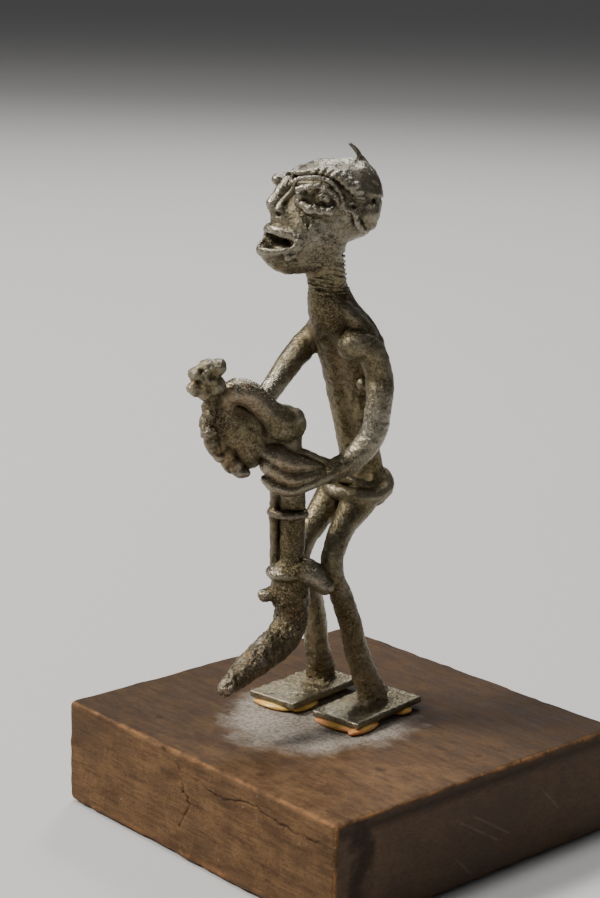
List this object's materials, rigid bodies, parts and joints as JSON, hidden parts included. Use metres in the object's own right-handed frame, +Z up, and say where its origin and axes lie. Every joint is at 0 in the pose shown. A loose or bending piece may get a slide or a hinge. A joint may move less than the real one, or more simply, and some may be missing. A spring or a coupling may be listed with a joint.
{
  "type": "goldweight figure",
  "caption": "Cast brass goldweight figure of a slender standing man holding a long gun and a flask, waxed to a dark wooden block.",
  "frame": {"origin": "centre of the wooden block's underside", "axes": "+Z up, the figure faces -Y, turned 8.65 degrees toward +X; X and Y run along the block's sides"},
  "size_m": [0.046, 0.0442, 0.0782],
  "materials": {
    "aged_brass": "dark olive-brown patina with pale dirt in the hollows and grey-silver rubbed high spots",
    "dark_wood": "dark stained wood, worn paler along the edges, dusty on top",
    "amber_wax": "amber mounting wax, slightly glossy"
  },
  "bodies": {
    "root": {"brass_figure": "aged_brass", "wooden_block": "dark_wood", "wax_left": "amber_wax", "wax_right": "amber_wax"}
  },
  "joints": []
}
